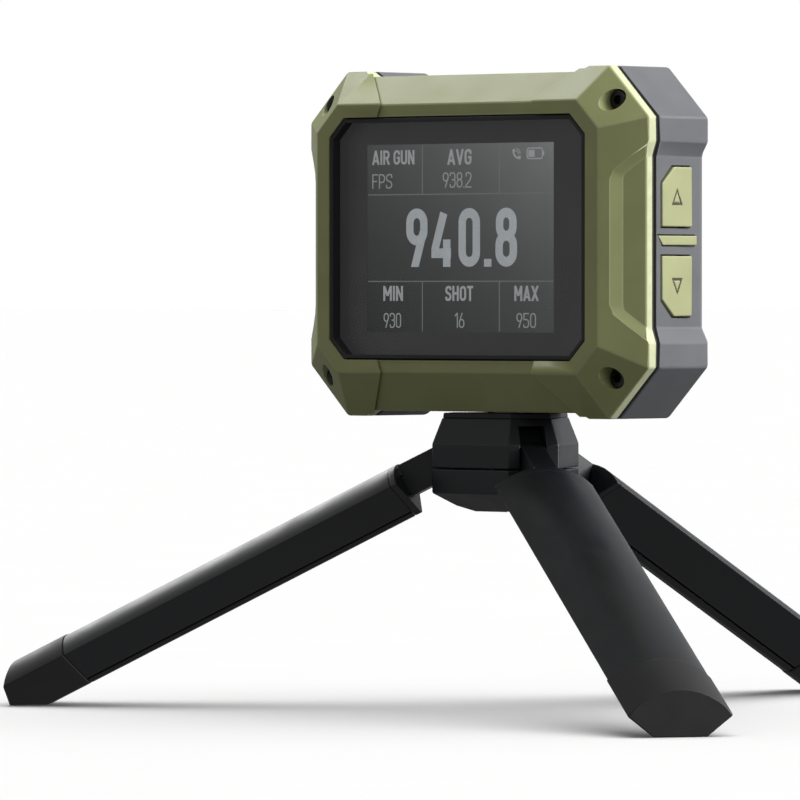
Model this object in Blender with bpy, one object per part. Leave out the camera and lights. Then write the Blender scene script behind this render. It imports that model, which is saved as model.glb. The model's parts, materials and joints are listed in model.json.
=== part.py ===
"""Pocket radar chronograph on a folding mini tripod.

The geometry is written in millimetres about the tripod's own axis, which stands at
X = 0, Y = 0 with the ground at Z = 0.  The display looks along -Y and +X is to its
right.  mesh_object() turns millimetres into metres, and the empty "assembly" shifts
everything so that the origin is the centre of the object's footprint.
"""

import bmesh
import bpy
from math import asin, atan2, cos, pi, radians, sin, sqrt, tan

MM = 0.001
GAP = 0.3                     # clearance between pieces that touch

# ---------------------------------------------------------------- driving dimensions
TRIPOD_AXIS_Y = -22.65        # tripod axis from the middle of the footprint

# Measuring head
HEAD_WIDTH = 97.5
HEAD_HEIGHT = 75.0
HEAD_BOTTOM = 63.4
HEAD_Z = HEAD_BOTTOM + HEAD_HEIGHT / 2
CORNER_CHAMFER = 10.95
FRONT_Y = -17.8               # flat ring round the window
SLOPE_Y = -10.8               # where the front slopes meet the sides
BEZEL_BACK_Y = -8.2
HOUSING_FRONT_Y = -7.1
SIDE_BACK_Y = 8.6             # where the rear chamfer starts
REAR_Y = 13.2

# Waists between the corner bumpers
TOP_WAIST_IN, TOP_WAIST_OUT = 30.2, 32.2
SIDE_WAIST_IN, SIDE_WAIST_OUT = 18.2, 21.3
TOP_WAIST_DEPTH = 1.2
SIDE_WAIST_FRONT, SIDE_WAIST_BACK = 1.0, 2.0

# Front ring and window opening, heights measured from the middle of the head
RIDGE = dict(half_width=40.45, top=30.2, bottom=-27.95, chamfer=6.0)
OPENING = dict(half_width=37.0, top=27.3, bottom=-25.2, chamfer=4.3)
RING_THICKNESS = 1.6
RECESS_DEPTH = 0.5            # recessed middles of the bezel's top and bottom
RECESS_RIDGE = 22.4           # half width of that recess at the ridge
RECESS_OPENING = 23.6         # and beside the window opening
POCKET_DEPTH = 1.0            # recessed middles of the bezel's side slopes
CAVITY_CORNER_SUM = 65.0      # |x| + |z| where the cavity's corners are cut off

# Window and display stack, front faces
LINER_THICKNESS = 0.8
FLANGE_FRONT_Y, FLANGE_THICKNESS = -15.9, 0.6
GLASS_FRONT_Y, GLASS_THICKNESS = -15.0, 1.2
LCD_FRONT_Y, LCD_THICKNESS = -13.5, 1.9
BOARD_FRONT_Y, BOARD_THICKNESS = -11.3, 1.2
LCD_Z = 1.1                   # middle of the display above the middle of the head

# Case screws
SCREW_X = 41.0
SCREW_TOP, SCREW_BOTTOM = 30.1, -28.7
SCREW_WELL_RADIUS = 2.35
SCREW_SEAT_Y = -9.3

# Housing cavity
CAVITY_HALF_WIDTH, CAVITY_HALF_HEIGHT = 43.5, 34.0
CAVITY_BACK_Y = 10.8

# Side buttons, the flap and the rib between them
BUTTON_Y = (-5.3, 4.45)
UPPER_KEY_Z = (3.3, 16.0)
LOWER_KEY_Z = (-15.7, -2.9)
KEY_CUT_Y, KEY_CUT_Z = 3.9, 3.6
BUTTON_FACE_X = 47.9
BUTTON_FLANGE = 1.2
RIB_Y = (-6.5, 6.2)
RIB_Z = (-0.6, 1.4)
RIB_FACE_X = 47.75
KEY_BOARD_X = 37.4

# Tripod hub
WIDE_APOTHEM, SLOT_APOTHEM = 13.0, 16.0
HUB_TOP, HUB_SHOULDER, HUB_SEAM = 63.2, 57.6, 52.3
HUB_WAIST, HUB_BOTTOM = 47.0, 43.0
SLOT_HALF_WIDTH, SLOT_INNER, SLOT_TOP = 2.95, 6.3, 61.6
DEEP_SLOT_INNER, DEEP_SLOT_TOP = 4.4, 50.2    # room for a folded leg's arm
STUD_RADIUS = 6.35 / 2
PAD_BOTTOM, PAD_TOP = 63.5, 64.3

# Tripod legs
PIVOT_RADIUS, PIVOT_Z = 10.0, 57.8
LEG_SLOPE = radians(27.0)
LEG_AZIMUTHS = {"left": -60.0, "right": 60.0, "rear": 180.0}
ARC_TOP_V, ARC_RADIUS = 2.5, 16.0   # the section's rounded upper side
LEG_HALF_WIDTH = 11.16
APEX_V = -9.7                 # where its two flanks would meet
SHELL_WALL = 1.8
SHELL_FLOOR = -7.0            # lowest point of the shell's hollow
APEX_FLAT = 0.5               # how much of the section's point is blunted
RAIL_HEIGHT = 1.5
RAIL_WEB_HALF, RAIL_WEB_TOP = 1.2, -5.6
COLLAR_START, COLLAR_END = 15.3, 16.8
SHELL_START, SHELL_END = 17.1, 98.2
FOOT_START = 98.5
FOOT_SWELL = 0.22
FOOT_REACH = 110.5
ARM_HALF_THICKNESS = 2.65
EYE_RADIUS = 3.4
PIN_RADIUS, PIN_HALF_LENGTH = 1.5, 6.3

# Colours: red, green, blue, metallic, roughness
FINISHES = {
    "olive_paint": (0.120, 0.130, 0.052, 0.0, 0.45),
    "key_green": (0.470, 0.500, 0.265, 0.0, 0.45),
    "grey_plastic": (0.150, 0.153, 0.165, 0.0, 0.5),
    "black_plastic": (0.017, 0.018, 0.020, 0.0, 0.45),
    "black_rubber": (0.010, 0.010, 0.011, 0.0, 0.8),
    "smoked_glass": (0.030, 0.031, 0.033, 0.0, 0.05),
    "lcd_glass": (0.060, 0.065, 0.068, 0.0, 0.2),
    "circuit_board": (0.010, 0.090, 0.040, 0.0, 0.5),
    "steel": (0.550, 0.550, 0.560, 1.0, 0.3),
    "brass": (0.720, 0.520, 0.220, 1.0, 0.3),
    "battery_wrap": (0.250, 0.280, 0.330, 0.4, 0.4),
}


# ---------------------------------------------------------------- making objects
def clear_scene():
    for item in list(bpy.data.objects):
        bpy.data.objects.remove(item, do_unlink=True)


def finish_material(name):
    material = bpy.data.materials.get(name)
    if material is None:
        material = bpy.data.materials.new(name)
        material.use_nodes = True
        red, green, blue, metallic, roughness = FINISHES[name]
        shader = material.node_tree.nodes["Principled BSDF"]
        shader.inputs["Base Color"].default_value = (red, green, blue, 1.0)
        shader.inputs["Metallic"].default_value = metallic
        shader.inputs["Roughness"].default_value = roughness
    return material


def mesh_object(name, rings, finish, parent, origin=(0.0, 0.0, 0.0)):
    """A closed skin through rings of points, capped at both ends."""
    mesh = bpy.data.meshes.new(name)
    shape = bmesh.new()
    loops = []
    for ring in rings:
        loops.append([shape.verts.new([(p - o) * MM for p, o in zip(point, origin)]) for point in ring])
    for first, second in zip(loops, loops[1:]):
        for i in range(len(first)):
            j = (i + 1) % len(first)
            shape.faces.new((first[i], first[j], second[j], second[i]))
    shape.faces.new(loops[0])
    shape.faces.new(loops[-1])
    bmesh.ops.connect_verts_nonplanar(shape, angle_limit=radians(0.2), faces=shape.faces)
    bmesh.ops.recalc_face_normals(shape, faces=shape.faces)
    shape.to_mesh(mesh)
    shape.free()
    item = bpy.data.objects.new(name, mesh)
    bpy.context.scene.collection.objects.link(item)
    item.parent = parent
    item.location = [value * MM for value in origin]
    if finish is not None:
        mesh.materials.append(finish_material(finish))
    return item


def as_cutter(item):
    item.hide_render = True
    item.display_type = "WIRE"
    return item


def apply_solid(item, other, operation):
    """Joins, cuts or keeps the part shared with the hidden solid `other`."""
    modifier = item.modifiers.new(other.name, "BOOLEAN")
    modifier.operation = operation
    modifier.solver = "EXACT"
    modifier.object = as_cutter(other)


def cut(item, *cutters):
    for cutter in cutters:
        apply_solid(item, cutter, "DIFFERENCE")


def join(item, *others):
    for other in others:
        apply_solid(item, other, "UNION")


def smooth(item, angle=40.0):
    item.data.shade_smooth()
    item.data.set_sharp_from_angle(angle=radians(angle))
    return item


# ---------------------------------------------------------------- outlines and rings
def octagon(half_width, top, bottom, chamfer):
    """Points (x, z) round a chamfered rectangle, z from the middle of the head."""
    return [(half_width - chamfer, top), (half_width, top - chamfer),
            (half_width, bottom + chamfer), (half_width - chamfer, bottom),
            (chamfer - half_width, bottom), (-half_width, bottom + chamfer),
            (-half_width, top - chamfer), (chamfer - half_width, top)]


def grown(outline, amount):
    """The same kind of octagon with every side moved out by `amount`."""
    return dict(half_width=outline["half_width"] + amount, top=outline["top"] + amount,
                bottom=outline["bottom"] - amount, chamfer=outline["chamfer"] + 0.586 * amount)


def cavity_octagon(half_width, top, bottom):
    """An octagon whose corners leave room for the screw bosses."""
    top_cut = half_width + top - CAVITY_CORNER_SUM
    bottom_cut = half_width - bottom - CAVITY_CORNER_SUM
    top_cut, bottom_cut = max(top_cut, 3.0), max(bottom_cut, 3.0)
    return [(half_width - top_cut, top), (half_width, top - top_cut),
            (half_width, bottom + bottom_cut), (half_width - bottom_cut, bottom),
            (bottom_cut - half_width, bottom), (-half_width, bottom + bottom_cut),
            (-half_width, top - top_cut), (top_cut - half_width, top)]


def case_outline(inset, side_waist):
    """The case's outline (x, z) with a bumper at each corner."""
    wide = HEAD_WIDTH / 2 - inset
    high = HEAD_HEIGHT / 2 - inset
    chamfer = CORNER_CHAMFER - 0.586 * inset
    quarter = [(TOP_WAIST_IN, high - TOP_WAIST_DEPTH), (TOP_WAIST_OUT, high), (wide - chamfer, high),
               (wide, high - chamfer), (wide, SIDE_WAIST_OUT), (wide - side_waist, SIDE_WAIST_IN)]
    right = quarter + [(x, -z) for x, z in reversed(quarter)]
    return right + [(-x, z) for x, z in reversed(right)]


def at_y(outline, y):
    return [(x, y, HEAD_Z + z) for x, z in outline]


def slab(name, outline, y_front, y_back, finish, parent):
    """A flat piece of the head, parallel to the display."""
    return mesh_object(name, [at_y(outline, y_front), at_y(outline, y_back)], finish, parent)


def box(name, low, high, finish, parent, origin=(0.0, 0.0, 0.0)):
    rings = [[(low[0], low[1], z), (high[0], low[1], z), (high[0], high[1], z), (low[0], high[1], z)]
             for z in (low[2], high[2])]
    return mesh_object(name, rings, finish, parent, origin)


def turned(name, profile, base, axis, finish, parent, segments=24, origin=(0.0, 0.0, 0.0)):
    """A round piece: `profile` lists (distance along the axis, radius)."""
    rings = []
    for along, radius in profile:
        ring = []
        for i in range(segments):
            turn = 2 * pi * i / segments
            a, b = radius * cos(turn), radius * sin(turn)
            offset = {"X": (along, a, b), "Y": (a, along, b), "Z": (a, b, along)}[axis]
            ring.append(tuple(p + q for p, q in zip(base, offset)))
        rings.append(ring)
    return smooth(mesh_object(name, rings, finish, parent, origin))


# ---------------------------------------------------------------- head: bezel and window
def slope_point(side, along, height, z):
    """A point by a side slope: distance out from the ridge, height over the slope, z."""
    run = HEAD_WIDTH / 2 - RIDGE["half_width"]
    depth = SLOPE_Y - FRONT_Y
    length = sqrt(run * run + depth * depth)
    x = RIDGE["half_width"] + (along * run + height * depth) / length
    y = FRONT_Y + (along * depth - height * run) / length
    return (side * x, y, HEAD_Z + z)


def side_pocket_cutter(name, side, parent):
    """The sunken middle of a side slope, with a gentle ramp round it."""
    upper_rim = [(2.5, 13.3), (3.3, 15.3), (10.9, 21.0), (15.0, 24.1)]
    upper_floor = [(5.5, 13.3), (5.8, 14.5), (10.9, 18.6), (15.0, 21.9)]
    rings = []
    for height in (-POCKET_DEPTH, 2.0):
        share = (height + POCKET_DEPTH) / POCKET_DEPTH
        half = [(f[0] + share * (r[0] - f[0]), f[1] + share * (r[1] - f[1]))
                for r, f in zip(upper_rim, upper_floor)]
        outline = [(a, -z) for a, z in reversed(half)] + half
        rings.append([slope_point(side, a, height, z) for a, z in outline])
    return mesh_object(name, rings, None, parent)


def waist_cutter(name, side, parent):
    """Takes the side waist out of the bezel's edge."""
    wide = HEAD_WIDTH / 2
    outline = [(wide + 2, SIDE_WAIST_OUT + 2.0), (wide, SIDE_WAIST_OUT),
               (wide - SIDE_WAIST_FRONT, SIDE_WAIST_IN)]
    outline += [(x, -z) for x, z in reversed(outline)]
    ring = [(side * x, z) for x, z in outline]
    return slab(name, ring, FRONT_Y - 2, HOUSING_FRONT_Y, None, parent)


def middle_recess_cutters(name, upwards, parent):
    """Sink the middle of the bezel's top or bottom: its front slope and ring, then its edge."""
    edge = HEAD_HEIGHT / 2
    ridge = RIDGE["top"] if upwards > 0 else -RIDGE["bottom"]
    opening = OPENING["top"] if upwards > 0 else -OPENING["bottom"]
    rise = (edge - ridge) / (SLOPE_Y - FRONT_Y)
    drop = RECESS_DEPTH * sqrt(1 + rise * rise)
    floor = edge - TOP_WAIST_DEPTH
    front = FRONT_Y + RECESS_DEPTH
    front_z = ridge + rise * RECESS_DEPTH - drop
    slope_end_y = FRONT_Y + (floor + drop - ridge) / rise
    per_z = (RECESS_RIDGE - RECESS_OPENING) / (front_z - opening)
    per_y = (TOP_WAIST_IN - RECESS_RIDGE - per_z * (floor - front_z)) / (slope_end_y - front)
    profile = [(slope_end_y, floor), (front, front_z), (front, opening - 3), (FRONT_Y - 3, opening - 3),
               (FRONT_Y - 3, edge + 3), (slope_end_y, edge + 3)]
    rings = []
    for side in (-1, 1):
        rings.append([(side * (RECESS_RIDGE + per_y * (y - front) + per_z * (z - front_z)), y,
                       HEAD_Z + upwards * z) for y, z in profile])
    wall = (TOP_WAIST_OUT - TOP_WAIST_IN) / TOP_WAIST_DEPTH
    top_half = TOP_WAIST_IN + wall * (TOP_WAIST_DEPTH + 3)
    waist = [(-TOP_WAIST_IN, upwards * floor), (TOP_WAIST_IN, upwards * floor),
             (top_half, upwards * (edge + 3)), (-top_half, upwards * (edge + 3))]
    return (mesh_object(name + "_front", rings, None, parent),
            slab(name + "_edge", waist, slope_end_y - 0.05, HOUSING_FRONT_Y, None, parent))


def screw_places():
    for side_name, side in (("left", -1), ("right", 1)):
        for level_name, z in (("top", SCREW_TOP), ("bottom", SCREW_BOTTOM)):
            yield f"{level_name}_{side_name}", side * SCREW_X, z


def screw_hole(name, x, z, radius, y_front, y_back, parent):
    return turned(name, [(y_front, radius), (y_back, radius)], (x, 0, HEAD_Z + z), "Y", None, parent)


def build_bezel(parent):
    outer = octagon(HEAD_WIDTH / 2, HEAD_HEIGHT / 2, -HEAD_HEIGHT / 2, CORNER_CHAMFER)
    bezel = mesh_object("front_bezel", [at_y(outer, BEZEL_BACK_Y), at_y(outer, SLOPE_Y),
                                        at_y(octagon(**RIDGE), FRONT_Y)], "olive_paint", parent)
    ring_back = FRONT_Y + RING_THICKNESS
    cavity = mesh_object("bezel_cavity_cutter", [
        at_y(cavity_octagon(40.6, 29.6, -27.2), ring_back),
        at_y(cavity_octagon(44.4, 32.8, -32.2), -12.0),
        at_y(cavity_octagon(45.4, 34.0, -34.0), BEZEL_BACK_Y + 1)], None, parent)
    opening = slab("window_cutter", octagon(**OPENING), FRONT_Y - 2, ring_back + 1, None, parent)
    cut(bezel, cavity, opening)
    for side_name, side in (("left", -1), ("right", 1)):
        cut(bezel, waist_cutter(f"waist_{side_name}_cutter", side, parent),
            side_pocket_cutter(f"pocket_{side_name}_cutter", side, parent))
    cut(bezel, *middle_recess_cutters("top_recess_cutter", 1, parent),
        *middle_recess_cutters("bottom_recess_cutter", -1, parent))
    for place, x, z in screw_places():
        cut(bezel, screw_hole(f"well_{place}_cutter", x, z, SCREW_WELL_RADIUS, FRONT_Y - 1, SCREW_SEAT_Y,
                              parent),
            screw_hole(f"shank_{place}_cutter", x, z, 1.5, FRONT_Y, BEZEL_BACK_Y + 1, parent))


def build_window(parent):
    liner_outer = grown(OPENING, -GAP)
    liner_inner = grown(liner_outer, -LINER_THICKNESS)
    flange = octagon(39.9, 29.2, -26.8, 6.2)
    flange_back = FLANGE_FRONT_Y + FLANGE_THICKNESS
    gasket = mesh_object("window_gasket", [
        at_y(octagon(**liner_outer), FRONT_Y + 0.2), at_y(octagon(**liner_outer), FLANGE_FRONT_Y),
        at_y(flange, FLANGE_FRONT_Y), at_y(flange, flange_back)], "black_rubber", parent)
    cut(gasket, slab("liner_cutter", octagon(**liner_inner), FRONT_Y - 1, flange_back + 1, None, parent))
    slab("display_window", octagon(39.6, 28.9, -26.5, 6.2), GLASS_FRONT_Y,
         GLASS_FRONT_Y + GLASS_THICKNESS, "smoked_glass", parent)


def build_display(parent):
    lcd = dict(half_width=29.6, top=LCD_Z + 22.9, bottom=LCD_Z - 22.9, chamfer=0.6)
    lcd_back = LCD_FRONT_Y + LCD_THICKNESS
    slab("lcd_panel", octagon(**lcd), LCD_FRONT_Y, lcd_back, "lcd_glass", parent)
    frame = slab("lcd_frame", octagon(38.6, 28.2, -25.8, 7.0), LCD_FRONT_Y, lcd_back,
                 "black_plastic", parent)
    cut(frame, slab("lcd_frame_cutter", octagon(**grown(lcd, GAP)), LCD_FRONT_Y - 1, lcd_back + 1,
                    None, parent))
    slab("main_board", octagon(40.0, 29.5, -28.0, 9.0), BOARD_FRONT_Y, BOARD_FRONT_Y + BOARD_THICKNESS,
         "circuit_board", parent)


# ---------------------------------------------------------------- head: rear housing
def build_body_gasket(parent):
    front, back = BEZEL_BACK_Y + GAP, HOUSING_FRONT_Y - GAP
    outline = case_outline(0.4, SIDE_WAIST_FRONT)
    gasket = slab("body_gasket", outline, front, back, "black_rubber", parent)
    cut(gasket, slab("gasket_cutter", cavity_octagon(44.6, 33.4, -33.4), front - 1, back + 1,
                     None, parent))
    for place, x, z in screw_places():
        cut(gasket, screw_hole(f"gasket_{place}_cutter", x, z, 1.5, front - 1, back + 1, parent))


def build_rear_housing(parent):
    housing = mesh_object("rear_housing", [
        at_y(case_outline(0.0, SIDE_WAIST_FRONT), HOUSING_FRONT_Y),
        at_y(case_outline(0.0, SIDE_WAIST_BACK), SIDE_BACK_Y),
        at_y(case_outline(4.6, 1.0), REAR_Y)], "grey_plastic", parent)
    cavity = cavity_octagon(CAVITY_HALF_WIDTH, CAVITY_HALF_HEIGHT, -CAVITY_HALF_HEIGHT)
    cut(housing, slab("cavity_cutter", cavity, HOUSING_FRONT_Y - 1, CAVITY_BACK_Y, None, parent),
        slab("radome_seat_cutter", octagon(31.0, 23.0, -23.0, 8.0), 12.0, REAR_Y + 1, None, parent),
        slab("radome_hole_cutter", octagon(28.0, 20.0, -20.0, 7.0), CAVITY_BACK_Y - 1, 12.5,
             None, parent))
    for place, x, z in screw_places():
        cut(housing, screw_hole(f"boss_{place}_cutter", x, z, 1.4, HOUSING_FRONT_Y - 1, 5.0, parent))
    join(housing, turned("insert_boss", [(65.5, 6.2), (73.8, 6.2)], (0, 0, 0), "Z", None, parent, 32))
    cut(housing, turned("insert_cutter", [(60.0, 4.3), (72.3, 4.3)], (0, 0, 0), "Z", None, parent, 32))
    cut(housing, key_prism("up_hole_cutter", 1, UPPER_KEY_Z, 0.35, 42.0, 50.0, None, parent),
        key_prism("down_hole_cutter", 1, LOWER_KEY_Z, 0.35, 42.0, 50.0, None, parent),
        key_prism("power_hole_cutter", -1, UPPER_KEY_Z, 0.35, 42.0, 50.0, None, parent),
        rib_prism("rib_seat_right_cutter", 1, 0.3, 46.0, 50.0, None, parent),
        rib_prism("rib_seat_left_cutter", -1, 0.3, 46.0, 50.0, None, parent),
        flap_seat_cutter(parent), port_hole_cutter(parent))


def build_rear_details(parent):
    slab("radar_window", octagon(30.7, 22.7, -22.7, 7.9), 12.3, REAR_Y - 0.1, "black_plastic", parent)
    slab("radar_board", octagon(34.0, 25.0, -25.0, 3.0), 8.6, 9.8, "circuit_board", parent)
    slab("radar_shield", octagon(16.0, 12.0, -12.0, 1.0), 6.0, 8.3, "steel", parent)
    tray = slab("battery_tray", octagon(27.0, 21.0, -17.0, 2.0), -8.6, 3.6, "black_plastic", parent)
    cut(tray, slab("tray_cutter", octagon(24.6, 18.6, -14.6, 1.0), -7.2, 4.6, None, parent))
    slab("battery", octagon(24.3, 18.3, -14.3, 1.6), -6.9, 2.9, "battery_wrap", parent)


def build_case_screws(parent):
    for place, x, z in screw_places():
        head_back = SCREW_SEAT_Y - GAP
        profile = [(head_back - 2.2, 2.0), (head_back, 2.0), (head_back, 1.1), (4.6, 1.1)]
        screw = turned(f"screw_{place}", profile, (x, 0, HEAD_Z + z), "Y", "steel", parent)
        cut(screw, turned(f"socket_{place}_cutter", [(head_back - 3.0, 1.15), (head_back - 1.0, 1.15)],
                          (x, 0, HEAD_Z + z), "Y", None, parent, 6))


def build_insert(parent):
    insert = turned("tripod_insert", [(64.9, 4.0), (72.0, 4.0)], (0, 0, 0), "Z", "brass", parent, 32)
    cut(insert, turned("insert_bore_cutter", [(63.0, STUD_RADIUS + GAP), (74.0, STUD_RADIUS + GAP)],
                       (0, 0, 0), "Z", None, parent, 32))


# ---------------------------------------------------------------- head: keys and port
def key_outline(z_range, grow):
    """Key outline (y, z): a rectangle with its front outer corner cut off."""
    y0, y1 = BUTTON_Y[0] - grow, BUTTON_Y[1] + grow
    inner = z_range[0] if z_range[0] > 0 else z_range[1]
    outer = z_range[1] if z_range[0] > 0 else z_range[0]
    sign = 1 if outer > inner else -1
    near, far = inner - sign * grow, outer + sign * grow
    return [(y0, near), (y1, near), (y1, far), (y0 + KEY_CUT_Y, far), (y0, far - sign * KEY_CUT_Z)]


def at_x(outline, x):
    return [(x, y, HEAD_Z + z) for y, z in outline]


def key_prism(name, side, z_range, grow, x_low, x_high, finish, parent):
    outline = key_outline(z_range, grow)
    return mesh_object(name, [at_x(outline, side * x_low), at_x(outline, side * x_high)], finish, parent)


def rib_prism(name, side, grow, x_low, x_high, finish, parent):
    y0, y1 = RIB_Y[0] - grow, RIB_Y[1] + grow
    z0, z1 = RIB_Z[0] - grow, RIB_Z[1] + grow
    outline = [(y0, z1), (y0 + 1.6, z0), (y1, z0), (y1, z1)]
    return mesh_object(name, [at_x(outline, side * x_low), at_x(outline, side * x_high)], finish, parent)


def arrow_cutter(name, z_range, pointing, parent):
    """A thin triangular outline, as an engraving in a key's face."""
    middle_y = (BUTTON_Y[0] + BUTTON_Y[1]) / 2
    middle_z = (z_range[0] + z_range[1]) / 2
    corners = [(0.0, 1.95), (-1.85, -1.8), (1.85, -1.8)]
    ring = [(middle_y + y, middle_z + pointing * z) for y, z in corners]
    hole = [(middle_y + 0.62 * y, middle_z + pointing * (0.62 * z - 0.12)) for y, z in corners]
    cutter = mesh_object(name, [at_x(ring, BUTTON_FACE_X - 0.3), at_x(ring, 50.0)], None, parent)
    cut(cutter, mesh_object(name + "_core", [at_x(hole, 46.0), at_x(hole, 51.0)], None, parent))
    return cutter


def build_key(name, side, z_range, pointing, parent):
    flange = at_x(key_outline(z_range, BUTTON_FLANGE), side * 42.4)
    flange_top = at_x(key_outline(z_range, BUTTON_FLANGE), side * 43.2)
    stem = at_x(key_outline(z_range, 0.0), side * 43.2)
    face = at_x(key_outline(z_range, 0.0), side * BUTTON_FACE_X)
    middle = (side * 43.2, (BUTTON_Y[0] + BUTTON_Y[1]) / 2, HEAD_Z + (z_range[0] + z_range[1]) / 2)
    key = mesh_object(name, [flange, flange_top, stem, face], "key_green", parent, middle)
    if pointing:
        cut(key, arrow_cutter(name + "_arrow_cutter", z_range, pointing, parent))


def build_keys(parent):
    build_key("up_button", 1, UPPER_KEY_Z, 1, parent)
    build_key("down_button", 1, LOWER_KEY_Z, -1, parent)
    build_key("power_button", -1, UPPER_KEY_Z, 0, parent)
    for side_name, side in (("right", 1), ("left", -1)):
        rib_prism(f"side_rib_{side_name}", side, 0.0, 46.3, RIB_FACE_X, "key_green", parent)
        x0, x1 = sorted((side * KEY_BOARD_X, side * (KEY_BOARD_X + 1.2)))
        box(f"key_board_{side_name}", (x0, -6.4, HEAD_Z - 17.5), (x1, 6.2, HEAD_Z + 17.5),
            "circuit_board", parent)
        low = -17.4 if side > 0 else 1.9
        x0, x1 = sorted((side * 40.9, side * 41.3))
        box(f"key_seal_{side_name}", (x0, -6.8, HEAD_Z + low), (x1, 5.9, HEAD_Z + 17.4),
            "black_rubber", parent)
    switches = (("up", 1, UPPER_KEY_Z), ("down", 1, LOWER_KEY_Z), ("power", -1, UPPER_KEY_Z))
    for name, side, z_range in switches:
        middle_y = (BUTTON_Y[0] + BUTTON_Y[1]) / 2
        middle_z = HEAD_Z + (z_range[0] + z_range[1]) / 2
        x0, x1 = sorted((side * 38.9, side * 40.1))
        switch = box(f"{name}_switch", (x0, middle_y - 3, middle_z - 3), (x1, middle_y + 3, middle_z + 3),
                     "black_plastic", parent)
        join(switch, turned(f"{name}_plunger", [(side * 39.5, 1.6), (side * 40.6, 1.6)],
                            (0, middle_y, middle_z), "X", None, parent, 16))


FLAP_Z = (HEAD_Z + LOWER_KEY_Z[0], HEAD_Z + LOWER_KEY_Z[1])
FLAP_HINGE = (-46.9, 5.8)     # x and y of the flap's hinge line
FLAP_FRONT_Y = -3.3
FLAP_HINGE_RADIUS = 0.8


def flap_seat_cutter(parent):
    z0, z1 = FLAP_Z[0] - 0.35, FLAP_Z[1] + 0.35
    return box("flap_seat_cutter", (-50.0, FLAP_FRONT_Y - 0.35, z0), (-45.7, 7.2, z1), None, parent)


def port_hole_cutter(parent):
    middle = (FLAP_Z[0] + FLAP_Z[1]) / 2
    return box("port_hole_cutter", (-46.5, -1.3, middle - 4.9), (-42.0, 2.7, middle + 4.9), None, parent)


def build_port(parent):
    middle = (FLAP_Z[0] + FLAP_Z[1]) / 2
    port = box("usb_port", (-45.4, -0.95, middle - 4.5), (-38.9, 2.35, middle + 4.5), "steel", parent)
    cut(port, box("port_cutter", (-46.5, -0.6, middle - 4.15), (-40.5, 2.0, middle + 4.15), None, parent))
    hinge_x, hinge_y = FLAP_HINGE
    hinge = (hinge_x, hinge_y, middle)
    flap = box("usb_flap", (-47.8, FLAP_FRONT_Y, FLAP_Z[0]), (-46.0, hinge_y - 0.2, FLAP_Z[1]),
               "black_rubber", parent, hinge)
    join(flap, turned("flap_knuckle", [(FLAP_Z[0], FLAP_HINGE_RADIUS), (FLAP_Z[1], FLAP_HINGE_RADIUS)],
                      (hinge_x, hinge_y, 0), "Z", None, parent, 20))


# ---------------------------------------------------------------- tripod hub
def azimuth_direction(azimuth):
    """Unit vector for an azimuth counted from -Y towards +X, in degrees."""
    return sin(radians(azimuth)), -cos(radians(azimuth))


def hub_ring(z, shrink):
    """The hub's six-sided outline at height z, every side moved in by `shrink`."""
    faces = []
    for i in range(6):
        apothem = (WIDE_APOTHEM if i % 2 == 0 else SLOT_APOTHEM) - shrink
        faces.append((azimuth_direction(60.0 * i), apothem))
    ring = []
    for (n1, d1), (n2, d2) in zip(faces, faces[1:] + faces[:1]):
        area = n1[0] * n2[1] - n1[1] * n2[0]
        ring.append(((d1 * n2[1] - d2 * n1[1]) / area, (n1[0] * d2 - n2[0] * d1) / area, z))
    return ring


def radial_box(name, azimuth, r_range, half_width, z_range, parent, offset=0.0):
    """A box that points away from the axis along an azimuth."""
    out = azimuth_direction(azimuth)
    across = (-out[1], out[0])
    ring = []
    for r, w in ((r_range[0], -half_width), (r_range[1], -half_width),
                 (r_range[1], half_width), (r_range[0], half_width)):
        w += offset
        ring.append((out[0] * r + across[0] * w, out[1] * r + across[1] * w))
    rings = [[(x, y, z) for x, y in ring] for z in z_range]
    return mesh_object(name, rings, None, parent)


def pin_channel(name, azimuth, parent):
    """The pocket that a hinge pin drops into from the hub's seam."""
    width = PIN_RADIUS + GAP
    return radial_box(name, azimuth, (PIVOT_RADIUS - width, PIVOT_RADIUS + width),
                      PIN_HALF_LENGTH + GAP, (HUB_SEAM - 1, PIVOT_Z + width), parent)


def lower_slot_cutter(name, azimuth, parent):
    """The lower half's part of a leg's slot, deeper below where a folded leg's arm lies."""
    profile = [(SLOT_INNER, SLOT_TOP), (20.0, SLOT_TOP), (20.0, HUB_BOTTOM - 2),
               (DEEP_SLOT_INNER, HUB_BOTTOM - 2), (DEEP_SLOT_INNER, DEEP_SLOT_TOP),
               (SLOT_INNER, DEEP_SLOT_TOP)]
    out = azimuth_direction(azimuth)
    rings = [[(out[0] * r - out[1] * w, out[1] * r + out[0] * w, z) for r, z in profile]
             for w in (-SLOT_HALF_WIDTH, SLOT_HALF_WIDTH)]
    return mesh_object(name, rings, None, parent)


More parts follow.
